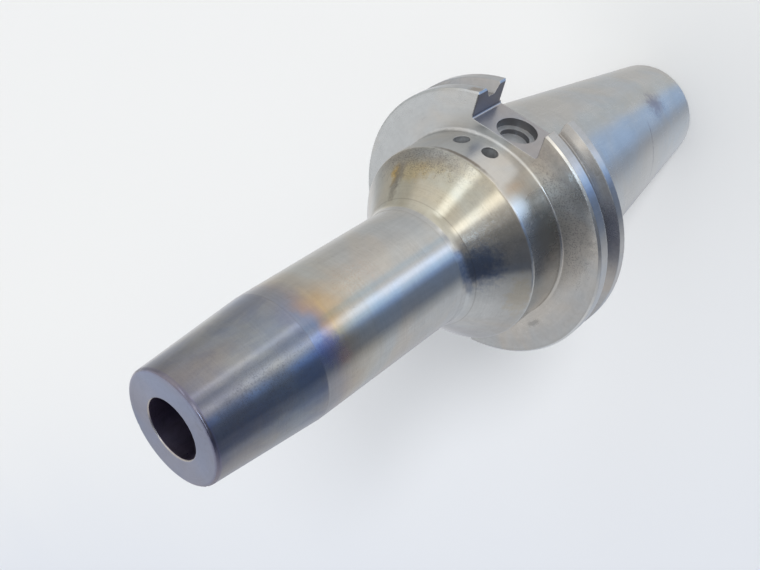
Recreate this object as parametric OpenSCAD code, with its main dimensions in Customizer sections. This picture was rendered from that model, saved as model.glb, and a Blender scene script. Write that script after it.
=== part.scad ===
/* [Spindle taper] */
// Diameter of the taper at the gauge line
gauge_d = 69.85; // [68:0.05:70.5]
// Length of the taper behind the gauge line
taper_len = 101.6; // [95:0.1:108]
// Steepness of the taper, as the diameter lost over the run below
taper_drop = 7; // [6.5:0.1:7.3]
// Run of the taper over which that diameter is lost
taper_run = 24; // [23:0.1:26]
// Edge break round the taper's small end
tail_chamfer = 1.2; // [0.4:0.1:2]
// Depth of the relief neck between the gauge line and the flange
neck_relief = 0.6; // [0.2:0.1:1.5]

/* [Flange] */
// Diameter of the V-flange
flange_d = 98.43; // [96:0.01:104]
// Distance from the gauge line to the flange's rear face
flange_gap = 3.2; // [2:0.1:6]
// Width of the flange along the axis
flange_w = 15.85; // [15.5:0.05:20]
// Edge break on the two rims of the flange
rim_chamfer = 0.7; // [0.3:0.1:1.5]
// Depth of the V-groove round the flange
groove_depth = 3.7; // [2:0.1:4.5]
// Width of the groove's flat floor
groove_floor_w = 3.4; // [2:0.1:4]
// Angle between the groove's two flanks
groove_angle = 60; // [50:1:65]
// Distance from the flange's front face to the middle of the groove
groove_inset = 8.35; // [7.8:0.05:8.8]

/* [Drive slots] */
// Width of the two drive slots
slot_w = 26.2; // [22:0.1:30]
// Distance from the axis to the floor of the front slot
slot_floor = 37.7; // [36.5:0.1:40]
// Distance from the axis to the floor of the deeper rear slot
deep_slot_floor = 35.3; // [35.3:0.1:38]
// Radius along the corners of a slot's floor
slot_corner_r = 0.8; // [0.3:0.1:1.5]
// Edge break along the slots' walls on the flange's front face
slot_chamfer = 0.3; // [0.1:0.05:0.5]
// Lead-in along the slots' walls on the flange's rear face
slot_lead = 1; // [0.3:0.1:1.5]
// Edge break where the slots' walls meet the rim
mouth_chamfer = 0.9; // [0.3:0.1:1.5]

/* [Chip pocket] */
// Diameter of the wide step of the pocket in the front slot's floor
pocket_d = 13.8; // [12:0.1:14]
// Depth of that wide step
pocket_depth = 3.1; // [1:0.1:4]
// Diameter of the seat in the middle of the pocket
seat_d = 10; // [6:0.1:11]
// Depth of the seat below the wide step
seat_depth = 1.9; // [0.5:0.1:4]
// Distance from the flange's front face to the middle of the pocket
pocket_inset = 7.65; // [7.6:0.05:8.2]

/* [Collar] */
// Diameter of the collar in front of the flange
collar_d = 69.85; // [66:0.05:70]
// Length of the collar along the axis
collar_len = 16.25; // [12:0.05:24]
// Radius where the collar meets the flange
collar_root_r = 1; // [0.4:0.1:2]
// Radius of the collar's front edge
collar_edge_r = 2; // [0.5:0.1:4]
// Diameter of the two balance holes drilled into the collar
balance_d = 5.6; // [3:0.1:7]
// Depth of the balance holes to the end of their straight wall
balance_depth = 8; // [2:0.5:14]
// Point angle of the drill that made the balance holes
balance_point = 118; // [90:1:140]
// Distance from the flange's front face to the balance holes
balance_inset = 6.2; // [4.6:0.05:8]
// Angle round the axis between the two balance holes
balance_step = 18.6; // [14:0.1:40]

/* [Flare] */
// Slope of the flare, measured from the axis
flare_angle = 41.5; // [36:0.5:55]
// Radius where the flare runs into the nose
flare_root_r = 7.5; // [3:0.1:12]

/* [Nose] */
// Diameter of the nose along its straight length
nose_d = 42; // [38:0.1:46]
// Diameter of the nose at its tip
tip_d = 36; // [32:0.1:37.5]
// Length of the tapered end of the nose
cone_len = 38; // [20:0.5:60]
// Distance from the gauge line to the tip
gauge_len = 152.4; // [135:0.1:200]
// Radius of the tip's outer edge
tip_edge_r = 1.2; // [0.4:0.1:2.5]

/* [Tool bore] */
// Diameter of the bore that grips the tool's shank
bore_d = 19.05; // [17:0.01:22]
// Depth of the bore
bore_depth = 53; // [40:0.5:64]
// Edge break at the mouth of the bore
bore_chamfer = 0.3; // [0.2:0.1:1.5]
// Diameter of the threaded hole for a stop screw behind the bore
stop_thread_d = 16; // [12:0.1:16.5]
// Length of that threaded hole
stop_thread_len = 30; // [15:0.5:45]
// Diameter of the coolant passage from end to end
coolant_d = 10; // [5:0.1:11.5]

/* [Pull stud seat] */
// Diameter of the threaded hole for the pull stud
stud_d = 25.4; // [22:0.1:26]
// Depth of that threaded hole
stud_depth = 46; // [30:0.5:60]
// Diameter of the plain pilot at the hole's mouth
pilot_d = 26.2; // [26.1:0.05:28]
// Depth of the pilot
pilot_depth = 6; // [2:0.1:12]
// Edge break at the mouth of the pilot
pilot_chamfer = 0.8; // [0.2:0.1:1.5]

/* [Hidden] */
$fn = 180;

// Room that a cut runs past the face it opens in
past = 1;

// Heights along the axis, from the gauge line
tail_z = -taper_len;
flange_back = flange_gap;
flange_front = flange_back + flange_w;
groove_z = flange_front - groove_inset;
pocket_z = flange_front - pocket_inset;
collar_z = flange_front + collar_len;
balance_z = flange_front + balance_inset;
tip_z = gauge_len;
cone_z = tip_z - cone_len;
bore_end_z = tip_z - bore_depth;
stop_end_z = bore_end_z - stop_thread_len;
stud_end_z = tail_z + stud_depth;

// Radii about the axis
gauge_r = gauge_d / 2;
tail_r = gauge_r - taper_len * taper_drop / taper_run / 2;
chamfer_r = tail_r + tail_chamfer * taper_drop / taper_run / 2;
neck_r = gauge_r - neck_relief;
flange_r = flange_d / 2;
collar_r = collar_d / 2;
nose_r = nose_d / 2;
tip_r = tip_d / 2;

// Corners of the outline that are rounded: the corner, the points before and after it, and the radius
collar_root = [collar_r, flange_front];
collar_edge = [collar_r, collar_z];
flare_root = [nose_r, collar_z + (collar_r - nose_r) / tan(flare_angle)];
cone_start = [nose_r, cone_z];
tip_edge = [tip_r, tip_z];
rim_front = [flange_r - rim_chamfer, flange_front];
root_round = [collar_root, rim_front, collar_edge, collar_root_r];
edge_round = [collar_edge, collar_root, flare_root, collar_edge_r];
flare_round = [flare_root, collar_edge, cone_start, flare_root_r];
tip_round = [tip_edge, cone_start, [0, tip_z], tip_edge_r];

function toward(a, b) = (b - a) / norm(b - a);
function half_angle(c) = acos(toward(c[0], c[1]) * toward(c[0], c[2])) / 2;
function bisector(c) = toward([0, 0], toward(c[0], c[1]) + toward(c[0], c[2]));
// Where a round leaves the two edges that meet at its corner
function round_ends(c) = [for (i = [1, 2]) c[0] + toward(c[0], c[i]) * c[3] / tan(half_angle(c))];
// Middle of the circle that makes a round
function round_centre(c) = c[0] + bisector(c) * c[3] / sin(half_angle(c));

module round_disc(c) {
    translate(round_centre(c)) circle(r = c[3]);
}

// Half of the V-groove's section, cut into the flange's rim
module groove_outline() {
    floor_half = groove_floor_w / 2;
    spread = (groove_depth + past) * tan(groove_angle / 2);
    translate([flange_r - groove_depth, groove_z])
        polygon([
            [0, -floor_half],
            [groove_depth + past, -floor_half - spread],
            [groove_depth + past, floor_half + spread],
            [0, floor_half]
        ]);
}

// Section of the turned blank on one side of the axis, from the tail up to the tip
module blank_outline() {
    straight = concat(
        [
            [0, tail_z],
            [tail_r - tail_chamfer, tail_z],
            [chamfer_r, tail_z + tail_chamfer],
            [gauge_r, 0],
            [neck_r, 0],
            [neck_r, flange_back],
            [flange_r - rim_chamfer, flange_back],
            [flange_r, flange_back + rim_chamfer],
            [flange_r, flange_front - rim_chamfer],
            rim_front
        ],
        round_ends(root_round),
        round_ends(edge_round),
        round_ends(flare_round),
        [cone_start],
        round_ends(tip_round),
        [[0, tip_z]]
    );
    difference() {
        union() {
            polygon(straight);
            round_disc(edge_round);
            round_disc(tip_round);
        }
        round_disc(root_round);
        round_disc(flare_round);
        groove_outline();
    }
}

// Everything bored along the axis, from the tip down to the tail
module axial_bores() {
    translate([0, 0, bore_end_z]) cylinder(d = bore_d, h = bore_depth + past);
    translate([0, 0, tip_z - bore_chamfer])
        cylinder(d1 = bore_d, d2 = bore_d + 2 * (bore_chamfer + past), h = bore_chamfer + past);
    translate([0, 0, stop_end_z]) cylinder(d = stop_thread_d, h = stop_thread_len + past);
    translate([0, 0, stud_end_z - past]) cylinder(d = coolant_d, h = stop_end_z - stud_end_z + 2 * past);
    translate([0, 0, tail_z - past]) cylinder(d = stud_d, h = stud_depth + past);
    translate([0, 0, tail_z - past]) cylinder(d = pilot_d, h = pilot_depth + past);
    translate([0, 0, tail_z - past])
        cylinder(d1 = pilot_d + 2 * (pilot_chamfer + past), d2 = pilot_d, h = pilot_chamfer + past);
}

// Cross-section of a drive slot, open outwards along -Y
module slot_outline(floor_y) {
    reach = flange_r + past;
    half = slot_w / 2;
    mouth_y = sqrt(flange_r * flange_r - half * half);
    wide = half + mouth_chamfer + past;
    polygon([
        [-wide, -mouth_y - past],
        [wide, -mouth_y - past],
        [half, mouth_chamfer - mouth_y],
        [-half, mouth_chamfer - mouth_y]
    ]);
    translate([-half, -reach]) square([slot_w, reach - floor_y - slot_corner_r]);
    translate([slot_corner_r - half, -reach]) square([slot_w - 2 * slot_corner_r, reach - floor_y]);
    for (side = [-1, 1])
        translate([side * (half - slot_corner_r), -floor_y - slot_corner_r]) circle(r = slot_corner_r);
}

// Section of the slot seen along Y, flared at both faces of the flange to break its wall edges
module flare_outline() {
    half = slot_w / 2;
    front_wide = half + slot_chamfer + past;
    rear_wide = half + slot_lead + past;
    polygon([
        [-rear_wide, flange_back - past],
        [rear_wide, flange_back - past],
        [half, flange_back + slot_lead],
        [half, flange_front - slot_chamfer],
        [front_wide, flange_front + past],
        [-front_wide, flange_front + past],
        [-half, flange_front - slot_chamfer],
        [-half, flange_back + slot_lead]
    ]);
}

// One drive slot through the flange, open outwards along -Y
module drive_slot(floor_y) {
    top = flange_front + collar_root_r + past;
    corner_y = floor_y + slot_corner_r;
    translate([0, 0, flange_back - past]) linear_extrude(height = top - flange_back + past)
        slot_outline(floor_y);
    translate([0, -corner_y, 0]) rotate([90, 0, 0]) linear_extrude(height = flange_r + past - corner_y)
        flare_outline();
}

// Stepped pocket for an identification chip, sunk into the floor of the front slot
module chip_pocket() {
    translate([0, -slot_floor, pocket_z]) rotate([90, 0, 0]) {
        translate([0, 0, -pocket_depth]) cylinder(d = pocket_d, h = pocket_depth + past);
        translate([0, 0, -pocket_depth - seat_depth]) cylinder(d = seat_d, h = seat_depth + past);
    }
}

// One drilled hole that takes weight out of the collar, with its drill point
module balance_hole() {
    point_len = balance_d / 2 / tan(balance_point / 2);
    translate([0, -collar_r, balance_z]) rotate([90, 0, 0]) {
        translate([0, 0, -balance_depth]) cylinder(d = balance_d, h = balance_depth + past);
        translate([0, 0, -balance_depth - point_len]) cylinder(d1 = 0, d2 = balance_d, h = point_len);
    }
}

// The whole holder, turned and ground from one bar of steel
module holder_body() {
    color("silver") difference() {
        rotate_extrude() blank_outline();
        axial_bores();
        drive_slot(slot_floor);
        rotate([0, 0, 180]) drive_slot(deep_slot_floor);
        chip_pocket();
        for (i = [0, 1]) rotate([0, 0, i * balance_step]) balance_hole();
    }
}

holder_body();
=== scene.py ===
"""Studio scene of the shrink fit holder: camera, pale floor, soft light, machined steel and two threads."""
import math
from types import SimpleNamespace

import bmesh
import bpy
from mathutils import Matrix, Vector


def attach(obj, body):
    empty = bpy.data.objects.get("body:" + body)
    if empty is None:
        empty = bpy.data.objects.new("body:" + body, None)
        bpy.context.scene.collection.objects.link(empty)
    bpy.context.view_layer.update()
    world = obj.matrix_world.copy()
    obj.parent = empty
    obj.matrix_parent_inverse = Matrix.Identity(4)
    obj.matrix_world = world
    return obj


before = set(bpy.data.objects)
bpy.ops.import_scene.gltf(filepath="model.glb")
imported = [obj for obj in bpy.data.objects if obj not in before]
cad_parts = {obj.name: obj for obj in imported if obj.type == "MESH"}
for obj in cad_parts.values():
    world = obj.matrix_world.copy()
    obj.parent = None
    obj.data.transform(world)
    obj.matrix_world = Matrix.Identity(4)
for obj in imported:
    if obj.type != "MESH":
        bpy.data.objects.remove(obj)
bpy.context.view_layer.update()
scene = bpy.context.scene
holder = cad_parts["holder_body"]

MM = 0.001
DEGREES = 180.0 / math.pi

# Sizes of the holder that its finish follows, in millimetres along the axis and out from it.
REAR = -101.6
STUD_HOLE_END = -47.0
STUD_HOLE_R = 13.15
FLANGE_REAR = 3.2
FLANGE_FRONT = 19.05
FLANGE_R = 49.215
GROOVE_REAR = 5.2
GROOVE_FRONT = 16.2
GROOVE_R = 44.8
FACE_INNER_R = 35.2
SLOT_HALF = 13.1
SLOT_FLOOR = 37.7
POCKET_Z = 11.4
POCKET_R = 6.9
POCKET_STEP_R = 5.0
COLLAR_END = 35.3
COLLAR_SKIN_R = 33.0
BALANCE_HOLE_Z = 25.25
BALANCE_HOLE_LIP_R = 34.6
FLARE_END = 54.0
HEAT_START = 84.0
CONE_START = 114.4
TIP = 152.4
TIP_LAND_R = 16.4
BORE_R = 9.525
BORE_END = 55.0

# Inner threads: name, radius of the wall, pitch, start and end along the axis.
THREADS = (
    ("pull_stud_thread", 12.7, 3.175, -95.6, -55.6),
    ("stop_screw_thread", 8.0, 1.0, 69.4, 99.4),
)
THREAD_SIDES = 56
THREAD_DEPTH = 0.58       # share of the pitch
THREAD_FOOT_HALF = 0.46   # share of the pitch
THREAD_CREST_HALF = 0.10  # share of the pitch
THREAD_OVERLAP = 0.02     # millimetres that the foot is sunk in the wall, and the least height of the ridge

# Relief of the steel in millimetres.
EDGE_BREAK = 0.35
TURNING_DEPTH = 0.0016
THREAD_GRAIN_DEPTH = 0.01

# Roughness of stains and of dull patches, and how far in millimetres the heat's edge wanders.
STAIN_ROUGH = 0.36
DULL_ROUGH = 0.50
HEAT_WANDER = 14.0

# Heat tint as a share of the steel's colour, from HEAT_START to the tip: on the warm side and on the rest.
WARM_TINT = [
    (0.00, (1.00, 1.00, 1.00)), (0.10, (1.00, 0.99, 0.95)), (0.20, (1.04, 0.95, 0.82)),
    (0.30, (1.08, 0.80, 0.50)), (0.36, (0.78, 0.60, 0.56)), (0.42, (0.50, 0.56, 0.78)),
    (0.50, (0.55, 0.63, 0.78)), (0.62, (0.62, 0.66, 0.71)), (0.82, (0.60, 0.60, 0.64)),
    (1.00, (0.50, 0.50, 0.58)),
]
COOL_TINT = [
    (0.00, (1.00, 1.00, 1.00)), (0.20, (1.00, 1.00, 0.97)), (0.30, (0.86, 0.85, 0.83)),
    (0.38, (0.66, 0.67, 0.74)), (0.50, (0.55, 0.61, 0.74)), (0.66, (0.58, 0.62, 0.70)),
    (0.82, (0.58, 0.59, 0.65)), (1.00, (0.50, 0.50, 0.58)),
]

# The room's light by azimuth in degrees, below the horizon and above it.
LOW_ROOM = [
    (-180, (0.21, 0.25, 0.33)), (-155, (0.205, 0.26, 0.37)), (-143, (0.34, 0.50, 0.86)),
    (-128, (0.90, 0.92, 0.95)), (-84, (0.96, 0.96, 0.95)), (-50, (0.76, 0.76, 0.76)),
    (0, (0.68, 0.68, 0.67)), (38, (0.80, 0.80, 0.80)), (66, (0.58, 0.59, 0.63)),
    (84, (0.53, 0.545, 0.59)), (100, (0.63, 0.65, 0.69)), (130, (0.70, 0.715, 0.745)),
    (152, (0.71, 0.73, 0.765)), (166, (0.50, 0.52, 0.55)), (178, (0.28, 0.31, 0.37)),
]
HIGH_ROOM = [
    (-180, (0.13, 0.14, 0.165)), (-158, (0.15, 0.16, 0.18)), (-141, (0.25, 0.255, 0.26)),
    (-126, (0.52, 0.51, 0.50)), (-110, (0.95, 0.95, 0.93)), (-86, (0.80, 0.80, 0.79)),
    (-64, (0.95, 0.95, 0.93)), (-30, (0.82, 0.82, 0.82)), (0, (0.80, 0.80, 0.80)),
    (50, (0.96, 0.97, 0.98)), (70, (0.70, 0.70, 0.71)), (130, (0.70, 0.70, 0.71)),
    (155, (0.50, 0.51, 0.53)), (166, (0.38, 0.39, 0.41)), (175, (0.13, 0.145, 0.18)),
]
FLOOR_LIGHT = (0.82, 0.84, 0.86)
BACKDROP = (0.88, 0.89, 0.91)

# Soft panels in degrees: middle azimuth, half width, its softness, bottom, top, their softness, and colour.
PANELS = (
    (5.0, 30.0, 20.0, -24.0, 20.0, 14.0, (0.56, 0.56, 0.545)),
    (168.0, 14.0, 16.0, -24.0, 6.0, 12.0, (0.30, 0.33, 0.40)),
    (-130.0, 32.0, 40.0, -95.0, -60.0, 12.0, (0.56, 0.74, 1.02)),
    (-135.0, 6.0, 12.0, -54.0, -30.0, 10.0, (0.74, 1.03, 1.45)),
    (-125.0, 5.0, 14.0, -50.0, -28.0, 10.0, (1.52, 1.76, 2.22)),
    (-106.0, 5.0, 8.0, -46.0, -31.0, 6.0, (0.72, 0.86, 1.00)),
    (-144.0, 22.0, 16.0, 45.0, 58.0, 8.0, (1.30, 1.44, 1.60)),
    (-127.0, 6.0, 6.0, 43.0, 56.0, 6.0, (3.60, 4.50, 5.40)),
    (180.0, 36.0, 16.0, 37.0, 84.0, 16.0, (0.13, 0.15, 0.21)),
    (-75.0, 18.0, 16.0, -95.0, -58.0, 10.0, (0.74, 0.77, 0.78)),
    (125.0, 40.0, 30.0, -95.0, -56.0, 10.0, (0.79, 0.83, 0.89)),
    (-94.0, 4.0, 7.0, -28.0, -13.0, 8.0, (1.50, 1.51, 1.54)),
    (-109.5, 4.0, 7.0, -28.0, -13.0, 8.0, (0.58, 0.62, 0.70)),
    (-124.0, 4.0, 6.0, -28.0, -13.0, 8.0, (1.32, 1.35, 1.40)),
    (-108.0, 6.0, 10.0, 24.0, 74.0, 14.0, (1.65, 1.63, 1.54)),
    (-71.5, 6.5, 10.0, 20.0, 52.0, 14.0, (1.56, 1.62, 1.66)),
)

# The key light: direction and width in degrees, strength, and distance of its marker in metres.
KEY_AZIMUTH = -108.0
KEY_ELEVATION = 33.0
KEY_WIDTH = 15.0
KEY_STRENGTH = 2.1
KEY_DISTANCE = 8.0

# The floor in metres: half its side, and the direction in which its painted shade turns darker and bluish.
FLOOR_HALF = 6.0
FLOOR_GAP = 0.02 * MM
FLOOR_PAINTED_SHADE_WAY = (-0.80, 0.60)

# The camera: place in metres, its right and up directions, and its lens in millimetres.
CAMERA_PLACE = (-0.118005, -0.216527, 0.261198)
CAMERA_RIGHT = (-0.73372, -0.18201, -0.65462)
CAMERA_UP = (0.56333, -0.70165, -0.43630)
CAMERA_SENSOR = 36.0
CAMERA_LENS = 47.166


class Graph:
    """One node tree, with short calls so that a recipe reads as a formula."""

    def __init__(self, tree):
        self.tree = tree
        tree.nodes.clear()

    def add(self, kind, **settings):
        node = self.tree.nodes.new(kind)
        for name, value in settings.items():
            setattr(node, name, value)
        return node

    def put(self, socket, value):
        """Links a socket, or sets the constant."""
        if isinstance(value, bpy.types.NodeSocket):
            self.tree.links.new(value, socket)
            return
        if not isinstance(value, (int, float)) and len(value) == 3 and socket.type == "RGBA":
            value = (*value, 1.0)
        socket.default_value = value

    def math(self, operation, a, b=0.0, c=0.0, clamp=False):
        node = self.add("ShaderNodeMath", operation=operation, use_clamp=clamp)
        for socket, value in zip(node.inputs, (a, b, c)):
            self.put(socket, value)
        return node.outputs[0]

    def plus(self, a, b):
        return self.math("ADD", a, b)

    def minus(self, a, b):
        return self.math("SUBTRACT", a, b)

    def times(self, *values):
        result = values[0]
        for value in values[1:]:
            result = self.math("MULTIPLY", result, value)
        return result

    def flip(self, a):
        return self.minus(1.0, a)

    def apart(self, a, b):
        """How far apart two values are."""
        return self.math("ABSOLUTE", self.minus(a, b))

    def length(self, a, b):
        """Length of the diagonal over two sides."""
        return self.math("SQRT", self.plus(self.times(a, a), self.times(b, b)))

    def step(self, value, low, high, start=0.0, end=1.0):
        """Smooth change from start to end as value goes from low to high."""
        node = self.add("ShaderNodeMapRange", interpolation_type="SMOOTHSTEP", clamp=True)
        for socket, item in zip(node.inputs, (value, low, high, start, end)):
            self.put(socket, item)
        return node.outputs[0]

    def fall(self, value, low, high):
        """1 below low and 0 above high."""
        return self.step(value, low, high, 1.0, 0.0)

    def band(self, value, low, high, soft):
        """1 from low to high, and 0 outside, with soft edges."""
        rise = self.step(value, low - soft / 2, low + soft / 2)
        return self.times(rise, self.fall(value, high - soft / 2, high + soft / 2))

    def lerp(self, factor, a, b):
        node = self.add("ShaderNodeMix", data_type="FLOAT")
        for socket, item in zip((node.inputs[0], node.inputs[2], node.inputs[3]), (factor, a, b)):
            self.put(socket, item)
        return node.outputs[0]

    def mix(self, factor, a, b, blend="MIX"):
        node = self.add("ShaderNodeMix", data_type="RGBA", blend_type=blend)
        for socket, item in zip((node.inputs[0], node.inputs[6], node.inputs[7]), (factor, a, b)):
            self.put(socket, item)
        return node.outputs[2]

    def tint(self, factor, colour, share):
        """The colour times a share of each of its channels, as far as factor says."""
        return self.mix(factor, colour, share, "MULTIPLY")

    def ramp(self, factor, stops, mode="EASE"):
        """Colours by place: stops are (place from 0 to 1, colour)."""
        node = self.add("ShaderNodeValToRGB")
        node.color_ramp.interpolation = mode
        elements = node.color_ramp.elements
        while len(elements) < len(stops):
            elements.new(0.5)
        for element, (place, colour) in zip(elements, stops):
            element.position = place
            element.color = (*colour, 1.0)
        self.put(node.inputs[0], factor)
        return node.outputs[0]

    def join(self, x, y, z):
        node = self.add("ShaderNodeCombineXYZ")
        for socket, item in zip(node.inputs, (x, y, z)):
            self.put(socket, item)
        return node.outputs[0]

    def grey(self, value):
        return self.join(value, value, value)

    def split(self, vector):
        node = self.add("ShaderNodeSeparateXYZ")
        self.put(node.inputs[0], vector)
        return node.outputs

    def noise(self, vector, scale=1.0, detail=3.0, rough=0.55, distortion=0.0):
        node = self.add("ShaderNodeTexNoise", noise_dimensions="3D")
        for name, item in (("Vector", vector), ("Scale", scale), ("Detail", detail),
                           ("Roughness", rough), ("Distortion", distortion)):
            self.put(node.inputs[name], item)
        return node.outputs[0]

    def surface(self, shader):
        """Makes the shader the one that the material shows."""
        self.put(self.add("ShaderNodeOutputMaterial").inputs["Surface"], shader.outputs[0])


def new_material(name):
    material = bpy.data.materials.new(name)
    material.use_nodes = True
    return material, Graph(material.node_tree)


def degrees_ramp(stops):
    """Stops by angle from -180 to 180 degrees, as places from 0 to 1."""
    return [((angle + 180.0) / 360.0, colour) for angle, colour in stops]


def holder_point(g):
    """The shaded point in millimetres, how far it is from the axis, and its angle from the front slot."""
    scaled = g.add("ShaderNodeVectorMath", operation="SCALE")
    g.put(scaled.inputs[0], g.add("ShaderNodeTexCoord").outputs["Object"])
    scaled.inputs["Scale"].default_value = 1.0 / MM
    point = scaled.outputs[0]
    x, y, z = g.split(point)
    turn = g.times(g.math("ARCTAN2", g.times(x, -1.0), g.times(y, -1.0)), DEGREES)
    return SimpleNamespace(point=point, x=x, y=y, z=z, radius=g.length(x, y), turn=turn)


def holder_surfaces(g, at):
    """Masks, each 1 on its own surface of the holder and 0 elsewhere."""
    z, radius = at.z, at.radius
    off_middle = g.math("ABSOLUTE", at.x)
    on = SimpleNamespace()
    on.taper = g.fall(z, 1.0, 3.0)
    on.stud_hole = g.times(g.fall(z, STUD_HOLE_END - 1.0, STUD_HOLE_END),
                           g.fall(radius, STUD_HOLE_R, STUD_HOLE_R + 0.25))

    on.flange = g.band(z, FLANGE_REAR - 0.1, FLANGE_FRONT + 0.1, 0.1)
    on.face = g.times(g.band(z, FLANGE_FRONT - 0.06, FLANGE_FRONT + 0.5, 0.08),
                      g.step(radius, FACE_INNER_R, FACE_INNER_R + 0.7))
    in_slots = g.math("MAXIMUM", g.fall(radius, GROOVE_R - 0.4, GROOVE_R),
                      g.fall(off_middle, SLOT_HALF + 0.02, SLOT_HALF + 0.12))
    on.slot = g.times(g.band(z, FLANGE_REAR + 0.05, FLANGE_FRONT - 0.1, 0.1), in_slots)
    on.slot_wall = g.times(on.slot, g.step(off_middle, SLOT_HALF - 0.12, SLOT_HALF - 0.02))
    on.pocket = g.times(on.slot, g.step(at.y, -SLOT_FLOOR + 0.1, -SLOT_FLOOR + 0.2), g.fall(at.y, 0.0, 1.0))
    from_pocket = g.length(at.x, g.minus(z, POCKET_Z))
    walls = g.math("MAXIMUM", g.band(from_pocket, POCKET_R - 0.08, POCKET_R + 0.3, 0.1),
                   g.band(from_pocket, POCKET_STEP_R - 0.08, POCKET_STEP_R + 0.1, 0.1))
    on.pocket_wall = g.times(on.pocket, walls)
    on.groove = g.times(on.flange, g.flip(on.slot), g.band(radius, GROOVE_R, FLANGE_R - 0.3, 0.2),
                        g.band(z, GROOVE_REAR, GROOVE_FRONT, 0.4))
    on.rim = g.times(on.flange, g.step(radius, FLANGE_R - 0.3, FLANGE_R - 0.1))
    on.rim_edge = g.times(g.band(z, FLANGE_FRONT - 0.66, FLANGE_FRONT - 0.03, 0.06),
                          g.band(radius, FLANGE_R - 0.66, FLANGE_R - 0.04, 0.06))

    on.collar = g.times(g.band(z, FLANGE_FRONT, COLLAR_END, 0.2),
                        g.step(radius, COLLAR_SKIN_R - 1.0, COLLAR_SKIN_R))
    on.collar_hole = g.times(g.band(z, BALANCE_HOLE_Z - 3.75, BALANCE_HOLE_Z + 3.75, 0.5),
                             g.fall(radius, BALANCE_HOLE_LIP_R - 0.4, BALANCE_HOLE_LIP_R))
    on.flare = g.band(z, COLLAR_END - 0.3, FLARE_END - 2.0, 1.0)
    on.nose = g.step(z, FLARE_END - 3.0, FLARE_END)
    on.cone = g.step(z, CONE_START - 0.4, CONE_START + 0.4)
    on.shank = g.times(on.nose, g.flip(on.cone))
    on.tip_face = g.step(z, TIP - 0.25, TIP - 0.1)
    on.tip_edge = g.times(g.band(z, TIP - 1.4, TIP - 0.05, 0.3), g.step(radius, TIP_LAND_R, TIP_LAND_R + 0.5))
    on.bore = g.times(g.step(z, BORE_END, BORE_END + 1.0), g.fall(radius, BORE_R + 0.05, BORE_R + 0.2))
    on.bore_edge = g.times(g.band(z, TIP - 0.32, TIP - 0.02, 0.06),
                           g.fall(radius, BORE_R + 0.4, BORE_R + 0.5))
    return on


def steel_textures(g, at):
    """Turning marks run round the axis, wipe marks run along it, and blotches and clouds spread as they like.
    """
    point, z, radius = at.point, at.z, at.radius
    tex = SimpleNamespace()
    tex.rings = g.noise(g.join(z, radius, 0.0), 1.7, 3.0, 0.6)
    tex.broad_rings = g.noise(g.join(z, radius, 3.0), 0.35, 2.0, 0.6)
    tex.wipes = g.noise(g.join(g.times(at.x, 0.55), g.times(at.y, 0.55), g.times(z, 0.02)), 1.0, 4.0, 0.65)
    tex.clouds = g.noise(point, 0.05, 4.0, 0.55, 0.4)
    tex.blotches = g.noise(point, 0.16, 5.0, 0.6, 0.6)
    tex.grain = g.noise(point, 1.6, 4.0, 0.7)
    tex.dust = g.noise(point, 0.9, 3.0, 0.7)
    tex.speckle = g.step(g.noise(point, 3.2, 2.0, 0.6), 0.50, 0.62)
    tex.dots = g.step(g.noise(point, 1.9, 1.0, 0.5), 0.52, 0.64)

    # Hair scratches lie where a stretched noise crosses one level, on a few places only.
    round_way = g.join(g.times(at.turn, 0.05), g.times(z, 1.1), g.times(radius, 1.1))
    round_hair = g.fall(g.apart(g.noise(round_way, 1.0, 2.0, 0.5, 0.3), 0.5), 0.0, 0.010)
    slant_way = g.join(g.plus(g.times(at.turn, 0.35), g.times(z, 0.25)), g.times(z, 0.05), radius)
    slant_hair = g.fall(g.apart(g.noise(slant_way, 1.0, 1.0, 0.5, 0.2), 0.42), 0.0, 0.006)
    sparse = g.step(g.noise(point, 0.09, 2.0, 0.5), 0.48, 0.62)
    tex.hairs = g.times(g.math("MAXIMUM", round_hair, slant_hair), sparse)
    return tex


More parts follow.
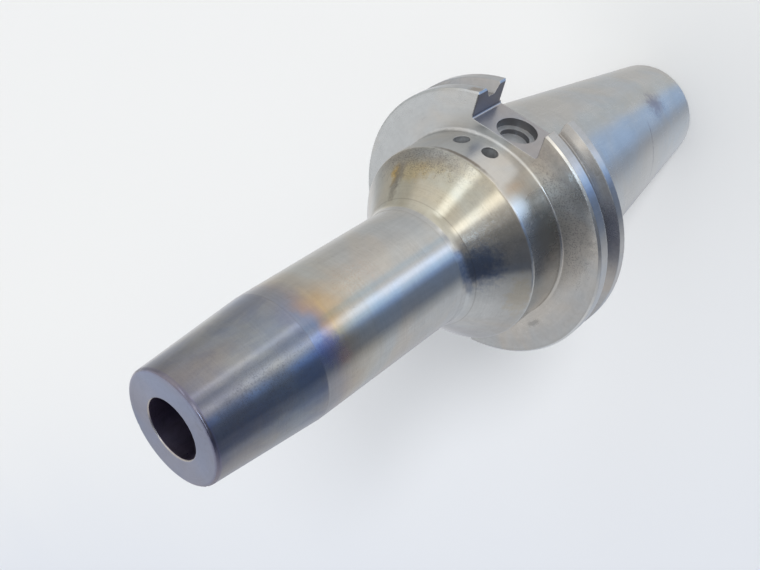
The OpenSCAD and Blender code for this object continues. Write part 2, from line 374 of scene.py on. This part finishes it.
def base_finish(g, at, on, tex):
    """Clean steel: its colour and roughness by surface, with some of the clouds and blotches left in each;
    the flange's front chamfer has a painted highlight, and one side of the collar has painted light.
    """
    colour = g.mix(tex.clouds, (0.455, 0.450, 0.435), (0.535, 0.530, 0.515))
    rough = g.lerp(tex.blotches, 0.16, 0.24)
    for mask, tone, level in (
        (on.flange, (0.50, 0.50, 0.50), 0.26),
        (on.face, (0.53, 0.53, 0.525), 0.33),
        (on.rim, (0.46, 0.475, 0.50), 0.20),
        # painted highlight: the flange's front chamfer is lighter than the steel, standing in for its bright
        # reflected line
        (on.rim_edge, (0.74, 0.74, 0.73), 0.22),
        (on.groove, (0.47, 0.46, 0.455), 0.20),
        (on.collar, (0.55, 0.545, 0.53), 0.15),
        (on.flare, (0.52, 0.515, 0.50), 0.075),
        (on.nose, (0.50, 0.495, 0.48), 0.19),
        (on.slot, (0.39, 0.383, 0.405), 0.34),
        (on.slot_wall, (0.30, 0.275, 0.285), 0.42),
        (on.pocket, (0.46, 0.46, 0.46), 0.36),
        (on.pocket_wall, (0.10, 0.095, 0.10), 0.32),
        (on.collar_hole, (0.41, 0.41, 0.415), 0.36),
    ):
        colour = g.mix(g.times(mask, 0.85), colour, tone)
        rough = g.lerp(g.times(mask, 0.75), rough, level)

    # The flange face is smoother and darker toward its rim, and darker on one side.
    rough = g.plus(rough, g.times(on.face, g.step(at.radius, 41.0, 45.0), -0.05))
    darker = g.times(g.step(at.radius, 39.0, 45.0, 1.0, 0.93), g.step(at.turn, -26.0, -14.0, 0.94, 1.0))
    colour = g.tint(on.face, colour, g.grey(darker))
    # The collar is satin on one side, and its colour there is lightened as painted light that stands in for
    # brighter reflections.
    satin_and_painted_light = g.times(on.collar, g.fall(at.turn, 12.0, 32.0))
    rough = g.plus(rough, g.times(satin_and_painted_light, 0.17))
    colour = g.mix(g.times(satin_and_painted_light, g.flip(on.collar_hole)), colour, (0.635, 0.62, 0.595))
    # The taper is ground, and a little cooler. The flare is cleaner toward the nose.
    colour = g.tint(on.taper, colour, (0.965, 0.99, 1.03))
    rough = g.plus(rough, g.times(on.taper, 0.05))
    colour = g.tint(on.flare, colour, g.grey(g.step(at.z, 37.0, 48.0, 0.93, 1.10)))
    return colour, rough


def heat_tint(g, at, on, tex, colour, rough):
    """Straw, brown, violet and blue in turn along the nose, then grey scale on the cone."""
    wander = g.times(g.minus(g.noise(at.point, 0.06, 3.0, 0.6), 0.5), HEAT_WANDER)
    heated = g.math("DIVIDE", g.minus(g.plus(at.z, wander), HEAT_START), TIP - HEAT_START, clamp=True)
    warm_side = g.plus(0.15, g.times(0.85, g.band(at.turn, -4.0, 52.0, 32.0)))
    heat = g.mix(warm_side, g.ramp(heated, COOL_TINT, "LINEAR"), g.ramp(heated, WARM_TINT, "LINEAR"))
    colour = g.tint(on.nose, colour, heat)
    rough = g.lerp(g.times(on.cone, 0.8), rough, 0.18)
    scale_spots = g.noise(g.join(at.x, at.y, g.times(at.z, 0.5)), 0.13, 5.0, 0.6, 0.3)
    patina = g.mix(g.step(scale_spots, 0.32, 0.66), (0.85, 0.85, 0.92), (1.12, 1.07, 1.00))
    colour = g.tint(g.times(on.cone, 0.9), colour, patina)
    thick_side = g.times(on.cone, g.band(at.turn, 46.0, 84.0, 26.0),
                         g.step(tex.blotches, 0.25, 0.60, 0.65, 1.0))
    colour = g.tint(thick_side, colour, (0.60, 0.665, 0.775))
    thin_side = g.times(g.step(at.z, 94.0, 138.0), g.fall(at.turn, -52.0, -24.0))
    colour = g.tint(thin_side, colour, (1.66, 1.72, 1.76))

    # The tip and the holes are darker than what the heat left round them.
    for mask, tone, level in (
        (on.tip_face, (0.305, 0.325, 0.42), 0.44),
        (g.times(on.tip_edge, 0.35), (0.20, 0.18, 0.29), 0.26),
        (on.bore, (0.36, 0.33, 0.47), 0.30),
        (on.bore_edge, (0.52, 0.50, 0.50), 0.22),
        (on.stud_hole, (0.24, 0.235, 0.23), 0.38),
    ):
        colour = g.mix(mask, colour, tone)
        rough = g.lerp(mask, rough, level)
    return colour, rough


def stains_and_painted_reflections(g, at, on, tex, colour, rough):
    """Stains and marks, with painted highlights and painted dark reflections among them, each at its own
    place: angle round from the front slot, and height or radius.
    """
    z, radius, turn = at.z, at.radius, at.turn
    edge_noise = g.times(g.minus(g.noise(at.point, 0.5, 4.0, 0.65), 0.5), 2.6)

    def spot(along, angle, middle, half_angle, half_along, hard=0.6, ragged=1.0):
        """A patch with a ragged edge, 1 in its middle."""
        sideways = g.math("DIVIDE", g.minus(turn, angle), half_angle)
        lengthways = g.math("DIVIDE", g.minus(along, middle), half_along)
        away = g.plus(g.length(sideways, lengthways), g.times(edge_noise, ragged))
        return g.fall(away, 1.0 - hard, 1.0 + hard)

    straw = g.times(on.flare, g.band(turn, -62.0, 26.0, 40.0))
    straw_tone = g.mix(tex.blotches, (0.60, 0.55, 0.42), (0.55, 0.53, 0.46))
    colour = g.mix(g.times(straw, 0.9), colour, straw_tone)
    for mask, amount, tone in (
        # Flare: gold patches, dark streaks, a film along its foot, and speckle.
        (g.times(on.flare, spot(z, -48.5, 41.6, 4.0, 2.4)), 0.85, (0.60, 0.41, 0.13)),
        (g.times(on.flare, spot(z, -34.0, 41.4, 11.0, 3.0)), 0.55, (0.58, 0.47, 0.25)),
        (g.times(on.flare, spot(z, -19.0, 39.4, 10.0, 2.2)), 0.55, (0.54, 0.42, 0.22)),
        (g.times(on.flare, spot(z, -44.3, 41.8, 3.4, 3.4)), 0.60, (0.24, 0.23, 0.22)),
        (g.times(on.flare, spot(z, -47.5, 45.4, 3.8, 3.0)), 0.60, (0.24, 0.22, 0.19)),
        (g.times(on.flare, spot(z, -34.0, 36.8, 31.0, 2.6, 0.8, 0.5)), 0.60, (0.27, 0.275, 0.30)),
        (g.times(on.flare, tex.speckle, spot(z, -32.0, 38.2, 31.0, 4.2)), 0.72, (0.16, 0.15, 0.15)),
        (g.times(on.flare, tex.speckle, spot(z, 47.0, 43.5, 15.0, 6.0)), 0.45, (0.13, 0.14, 0.17)),
        (g.times(on.flare, spot(z, 84.0, 38.0, 12.0, 3.0)), 0.35, (0.50, 0.41, 0.26)),
        # Collar: a painted light band, an orange streak, a painted highlight spot, a dark patch, and dirt
        # along its front edge.
        # painted highlight: a lighter band on the collar stands in for reflected light
        (g.times(on.collar, g.band(turn, 19.0, 31.0, 4.0)), 0.75, (0.74, 0.71, 0.66)),
        (g.times(on.collar, spot(z, 23.5, 30.0, 2.6, 4.0, 0.9, 0.6)), 0.33, (0.66, 0.46, 0.27)),
        # painted highlight: a light bluish spot on the collar stands in for a bright reflection
        (g.times(on.collar, spot(z, 33.5, 31.6, 5.0, 3.8, 0.7, 0.12)), 0.90, (0.84, 0.93, 1.00)),
        (g.times(on.collar, spot(z, 53.0, 27.0, 13.0, 9.0, 0.5, 0.5)), 0.66, (0.21, 0.23, 0.25)),
        (g.times(on.collar, spot(z, -7.0, 34.2, 17.0, 0.7, 0.6, 0.4)), 0.80, (0.20, 0.16, 0.12)),
        # Flange face: dark dots, a brown and a grey patch, and one small mark.
        (g.times(on.face, tex.dots, spot(radius, 50.0, 40.0, 26.0, 6.0)), 0.65, (0.22, 0.21, 0.23)),
        (g.times(on.face, spot(radius, 20.0, 42.0, 8.0, 5.0)), 0.24, (0.52, 0.43, 0.37)),
        (g.times(on.face, spot(radius, 29.0, 45.0, 10.0, 4.0, 0.7)), 0.45, (0.34, 0.33, 0.34)),
        (g.times(on.face, spot(radius, 122.0, 39.3, 4.0, 0.8)), 0.40, (0.18, 0.18, 0.18)),
        # Taper: one stain.
        (g.times(on.taper, spot(z, 28.0, -74.0, 9.0, 4.4, 0.9)), 0.75, (0.21, 0.20, 0.26)),
        # Nose: brown speckle, and blue and brown heat marks behind the cone.
        (g.times(on.nose, tex.speckle, spot(z, 7.0, 92.0, 14.0, 10.0)), 0.35, (0.46, 0.30, 0.22)),
        (g.times(on.shank, spot(z, 46.0, 110.5, 11.0, 4.5, 0.7)), 0.60, (0.15, 0.17, 0.33)),
        (g.times(on.shank, spot(z, 55.0, 106.0, 6.0, 2.4, 0.8)), 0.45, (0.46, 0.29, 0.24)),
        # Cone: dots and two dark patches.
        (g.times(on.cone, tex.dots, spot(z, 46.0, 133.0, 22.0, 15.0)), 0.40, (0.17, 0.16, 0.17)),
        (g.times(on.cone, spot(z, 43.0, 144.0, 9.0, 5.0, 0.9)), 0.55, (0.16, 0.15, 0.16)),
        (g.times(on.cone, spot(z, 41.0, 128.0, 6.0, 4.0, 0.9)), 0.45, (0.19, 0.17, 0.16)),
        # Rim and groove: one brown mark, and a painted dark reflection along part of the groove.
        (g.times(on.rim, spot(z, -18.0, 17.0, 3.0, 1.6)), 0.60, (0.30, 0.22, 0.14)),
        # painted dark reflection: a darker bluish stretch of the groove
        (g.times(on.groove, g.band(turn, 48.0, 67.0, 8.0)), 0.40, (0.26, 0.285, 0.36)),
    ):
        colour = g.mix(g.times(mask, amount), colour, tone)
        rough = g.lerp(g.times(mask, amount), rough, STAIN_ROUGH)

    # Two dull patches on the flange face, with the steel's own colour.
    dull = g.math("MAXIMUM", g.times(on.face, spot(radius, 56.0, 39.5, 20.0, 6.0, 0.6, 0.4)),
                  g.times(on.face, spot(radius, 26.0, 41.0, 12.0, 7.0)))
    rough = g.lerp(dull, rough, DULL_ROUGH)

    # A thin line part of the way round the taper.
    line_z = g.plus(g.times(g.minus(turn, 43.0), 0.08), g.times(g.minus(tex.clouds, 0.5), 3.0))
    thin_line = g.fall(g.apart(g.plus(z, 60.5), line_z), 0.1, 0.6)
    thin_line = g.times(thin_line, g.band(turn, 38.0, 84.0, 12.0), g.step(tex.dust, 0.30, 0.55))
    colour = g.mix(g.times(thin_line, 0.55), colour, (0.18, 0.18, 0.21))

    # A painted dark blue reflection where the flare runs into the nose, and faint lines where two turned
    # forms meet.
    painted_navy_reflection = g.times(g.band(z, 40.0, 53.5, 1.0), spot(z, 56.0, 47.8, 14.0, 5.0, 0.7, 0.7))
    colour = g.mix(g.times(painted_navy_reflection, 0.85), colour, (0.14, 0.195, 0.315))
    for middle, amount in ((49.0, 0.20), (53.95, 0.10), (114.4, 0.10)):
        line = g.band(z, middle - 0.15, middle + 0.15, 0.15)
        colour = g.mix(g.times(line, amount), colour, (0.12, 0.10, 0.08))
    return colour, rough


def wear(g, at, on, tex, bevel, colour, rough):
    """Clean metal on the edges, wipe marks, hair scratches and slow drifts of colour."""
    turned = g.add("ShaderNodeVectorMath", operation="DOT_PRODUCT")
    g.put(turned.inputs[0], bevel.outputs[0])
    g.put(turned.inputs[1], g.add("ShaderNodeNewGeometry").outputs["Normal"])
    edge = g.times(g.fall(turned.outputs["Value"], 0.80, 0.99), g.step(tex.dust, 0.35, 0.6))
    shade = g.plus(0.90, g.times(0.20, tex.wipes))
    shade = g.times(shade, g.plus(0.93, g.times(0.14, tex.rings)))
    shade = g.times(shade, g.plus(0.90, g.times(0.20, tex.blotches)))
    shade = g.times(shade, g.flip(g.times(tex.hairs, 0.16)))
    drift = g.step(g.noise(at.point, 0.035, 3.0, 0.55, 0.8), 0.35, 0.65)
    colour = g.tint(1.0, colour, g.mix(drift, (1.04, 1.00, 0.95), (0.96, 1.00, 1.04)))
    colour = g.tint(1.0, colour, g.grey(shade))
    colour = g.mix(g.times(edge, g.flip(on.bore), 0.45), colour, (0.62, 0.61, 0.59))
    rough = g.plus(rough, g.times(0.10, g.minus(tex.grain, 0.5)))
    rough = g.plus(rough, g.times(0.10, g.minus(tex.wipes, 0.5)))
    return colour, rough


def turned_relief(g, at, on, tex, bevel):
    """Bump of the turning marks, with fine grain on top, finest on the ground taper."""
    fine = g.minus(g.plus(0.35, g.times(on.nose, 1.25)), g.times(on.taper, 0.27))
    relief = g.plus(g.times(tex.rings, 0.6), g.plus(g.times(tex.broad_rings, 0.5), g.times(tex.grain, fine)))
    relief = g.plus(relief, g.times(tex.wipes, on.nose, 0.4))
    ahead_of_flange = g.step(at.z, FLANGE_FRONT + 0.15, FLANGE_FRONT + 0.55, 0.3, 2.0)
    relief = g.plus(relief, g.times(tex.dust, g.plus(ahead_of_flange, g.times(on.taper, -0.15))))
    bump = g.add("ShaderNodeBump")
    bump.inputs["Strength"].default_value = 1.0
    bump.inputs["Distance"].default_value = TURNING_DEPTH * MM
    g.put(bump.inputs["Height"], relief)
    g.put(bump.inputs["Normal"], bevel.outputs[0])
    return bump


def machined_steel():
    """One finish for the whole turned piece, laid out by the place along the axis and round it."""
    material, g = new_material("tool_steel_finish")
    at = holder_point(g)
    on = holder_surfaces(g, at)
    tex = steel_textures(g, at)
    bevel = g.add("ShaderNodeBevel", samples=6)
    bevel.inputs["Radius"].default_value = EDGE_BREAK * MM
    colour, rough = base_finish(g, at, on, tex)
    colour, rough = heat_tint(g, at, on, tex, colour, rough)
    colour, rough = stains_and_painted_reflections(g, at, on, tex, colour, rough)
    colour, rough = wear(g, at, on, tex, bevel, colour, rough)
    bump = turned_relief(g, at, on, tex, bevel)

    # Oil and dirt in the small holes and the pocket make them less of a mirror.
    dirt = g.plus(g.times(on.collar_hole, 0.25), g.times(on.pocket, 0.30))
    round_axis = g.add("ShaderNodeTangent", direction_type="RADIAL", axis="Z")
    shader = g.add("ShaderNodeBsdfPrincipled")
    shader.inputs["Anisotropic"].default_value = 0.45
    shader.inputs["Anisotropic Rotation"].default_value = 0.25
    g.put(shader.inputs["Metallic"], g.flip(dirt))
    g.put(shader.inputs["Base Color"], colour)
    g.put(shader.inputs["Roughness"], rough)
    g.put(shader.inputs["Normal"], bump.outputs[0])
    g.put(shader.inputs["Tangent"], round_axis.outputs[0])
    g.surface(shader)
    return material


def thread_steel():
    """Cut thread: dull steel with an uneven film of oil and dark specks."""
    material, g = new_material("cut_thread_finish")
    place = g.add("ShaderNodeTexCoord").outputs["Object"]
    speckle = g.noise(place, 900.0, 4.0, 0.6)
    film = g.noise(place, 120.0, 3.0, 0.6, 0.5)
    colour = g.mix(film, (0.22, 0.21, 0.20), (0.40, 0.39, 0.37))
    colour = g.mix(g.step(speckle, 0.55, 0.75), colour, (0.15, 0.14, 0.13))
    bump = g.add("ShaderNodeBump")
    bump.inputs["Distance"].default_value = THREAD_GRAIN_DEPTH * MM
    g.put(bump.inputs["Height"], speckle)
    shader = g.add("ShaderNodeBsdfPrincipled")
    shader.inputs["Metallic"].default_value = 1.0
    g.put(shader.inputs["Base Color"], colour)
    g.put(shader.inputs["Roughness"], g.lerp(film, 0.28, 0.48))
    g.put(shader.inputs["Normal"], bump.outputs[0])
    g.surface(shader)
    return material


def inner_thread(name, major_r, pitch, start, end, material):
    """A ridge that winds round the wall of a hole and fades in and out at its ends."""
    turns = (end - start) / pitch - 1.0
    count = int(turns * THREAD_SIDES)
    foot = major_r + THREAD_OVERLAP
    mesh = bpy.data.meshes.new(name)
    bm = bmesh.new()
    rings = []
    for index in range(count + 1):
        angle = 2.0 * math.pi * index / THREAD_SIDES
        middle = start + pitch / 2 + pitch * index / THREAD_SIDES
        fade = min(1.0, 2.0 * index / THREAD_SIDES, 2.0 * (count - index) / THREAD_SIDES)
        crest = major_r - max(THREAD_DEPTH * pitch * fade, THREAD_OVERLAP)
        ring = []
        for out, along in ((foot, -THREAD_FOOT_HALF), (crest, -THREAD_CREST_HALF),
                           (crest, THREAD_CREST_HALF), (foot, THREAD_FOOT_HALF)):
            ring.append(bm.verts.new((MM * out * math.cos(angle), MM * out * math.sin(angle),
                                      MM * (middle + along * pitch))))
        rings.append(ring)
    for before, after in zip(rings, rings[1:]):
        for a in range(4):
            b = (a + 1) % 4
            bm.faces.new((before[a], after[a], after[b], before[b]))
    bm.faces.new(rings[0])
    bm.faces.new(list(reversed(rings[-1])))
    bmesh.ops.recalc_face_normals(bm, faces=bm.faces)
    bm.to_mesh(mesh)
    bm.free()
    piece = bpy.data.objects.new(name, mesh)
    mesh.materials.append(material)
    scene.collection.objects.link(piece)
    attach(piece, "root")


def pale_floor():
    """Wide pale floor under the rear end, with painted shade that makes it darker and bluish toward one side.
    It takes the shadow, and the steel does not reflect it.
    """
    mesh = bpy.data.meshes.new("floor")
    half = FLOOR_HALF
    corners = [(-half, -half, 0), (half, -half, 0), (half, half, 0), (-half, half, 0)]
    mesh.from_pydata(corners, [], [(0, 1, 2, 3)])
    floor = bpy.data.objects.new("floor", mesh)
    floor.location.z = REAR * MM - FLOOR_GAP
    scene.collection.objects.link(floor)
    floor.visible_glossy = False
    floor.visible_shadow = False
    material, g = new_material("floor_paper")
    place = g.add("ShaderNodeTexCoord").outputs["Object"]
    cloud = g.noise(place, 3.0, 2.0, 0.5)
    x, y, _ = g.split(place)
    toward = g.plus(g.times(x, FLOOR_PAINTED_SHADE_WAY[0]), g.times(y, FLOOR_PAINTED_SHADE_WAY[1]))
    # painted shade: the floor turns darker and bluish toward one side
    painted_shade = g.step(g.plus(toward, g.times(cloud, 0.10)), -0.06, 0.42)
    shader = g.add("ShaderNodeBsdfPrincipled")
    shader.inputs["Specular IOR Level"].default_value = 0.0
    g.put(shader.inputs["Base Color"], g.mix(painted_shade, (0.80, 0.80, 0.795), (0.675, 0.70, 0.755)))
    g.put(shader.inputs["Roughness"], g.lerp(cloud, 0.85, 0.95))
    g.surface(shader)
    mesh.materials.append(material)


def soft_room():
    """A pale room with soft panels and one dark corner, by direction. The camera sees a plain backdrop."""
    world = bpy.data.worlds.new("studio")
    world.use_nodes = True
    scene.world = world
    g = Graph(world.node_tree)
    x, y, z = g.split(g.add("ShaderNodeTexCoord").outputs["Generated"])
    azimuth = g.times(g.math("ARCTAN2", y, x), DEGREES)
    elevation = g.times(g.math("ARCSINE", z), DEGREES)
    place = g.math("DIVIDE", g.plus(azimuth, 180.0), 360.0)
    low = g.ramp(place, degrees_ramp(LOW_ROOM))
    high = g.ramp(place, degrees_ramp(HIGH_ROOM))
    room = g.mix(g.step(elevation, -20.0, 15.0), low, high)
    room = g.mix(g.times(g.fall(elevation, -72.0, -52.0), 0.5), room, FLOOR_LIGHT)
    for middle, half, soft, bottom, top, fade, tone in PANELS:
        across = g.fall(g.apart(azimuth, middle), half - soft / 2, half + soft / 2)
        room = g.mix(g.times(across, g.band(elevation, bottom, top, fade)), room, tone)
    seen = g.add("ShaderNodeLightPath").outputs["Is Camera Ray"]
    background = g.add("ShaderNodeBackground")
    g.put(background.inputs["Color"], g.mix(seen, room, BACKDROP))
    g.put(g.add("ShaderNodeOutputWorld").inputs["Surface"], background.outputs[0])


def key_panel():
    """A wide soft light, high on one side, that gives the floor an even light and its shadow."""
    data = bpy.data.lights.new("key_panel", "SUN")
    data.angle = math.radians(KEY_WIDTH)
    data.energy = KEY_STRENGTH
    lamp = bpy.data.objects.new("key_panel", data)
    scene.collection.objects.link(lamp)
    around, up = math.radians(KEY_AZIMUTH), math.radians(KEY_ELEVATION)
    aim = Vector((math.cos(around) * math.cos(up), math.sin(around) * math.cos(up), math.sin(up)))
    lamp.location = aim * KEY_DISTANCE
    lamp.rotation_euler = aim.to_track_quat("Z", "Y").to_euler()
    lamp.visible_glossy = False
    lamp.visible_camera = False


def photo_camera():
    """The viewing angle, worked out from the holder's own sizes."""
    data = bpy.data.cameras.new("camera")
    data.sensor_width = CAMERA_SENSOR
    data.lens = CAMERA_LENS
    data.clip_start = 0.01
    data.clip_end = 50.0
    camera = bpy.data.objects.new("camera", data)
    scene.collection.objects.link(camera)
    right = Vector(CAMERA_RIGHT)
    back = right.cross(Vector(CAMERA_UP)).normalized()
    up = back.cross(right).normalized()
    right = up.cross(back).normalized()
    facing = Matrix((right, up, back)).transposed().to_4x4()
    camera.matrix_world = Matrix.Translation(CAMERA_PLACE) @ facing
    scene.camera = camera


photo_camera()
pale_floor()
soft_room()
key_panel()

steel = machined_steel()
for material_slot in holder.material_slots:
    material_slot.material = steel
cut = thread_steel()
for name, major_r, pitch, start, end in THREADS:
    inner_thread(name, major_r, pitch, start, end, cut)

scene.view_settings.view_transform = "Standard"
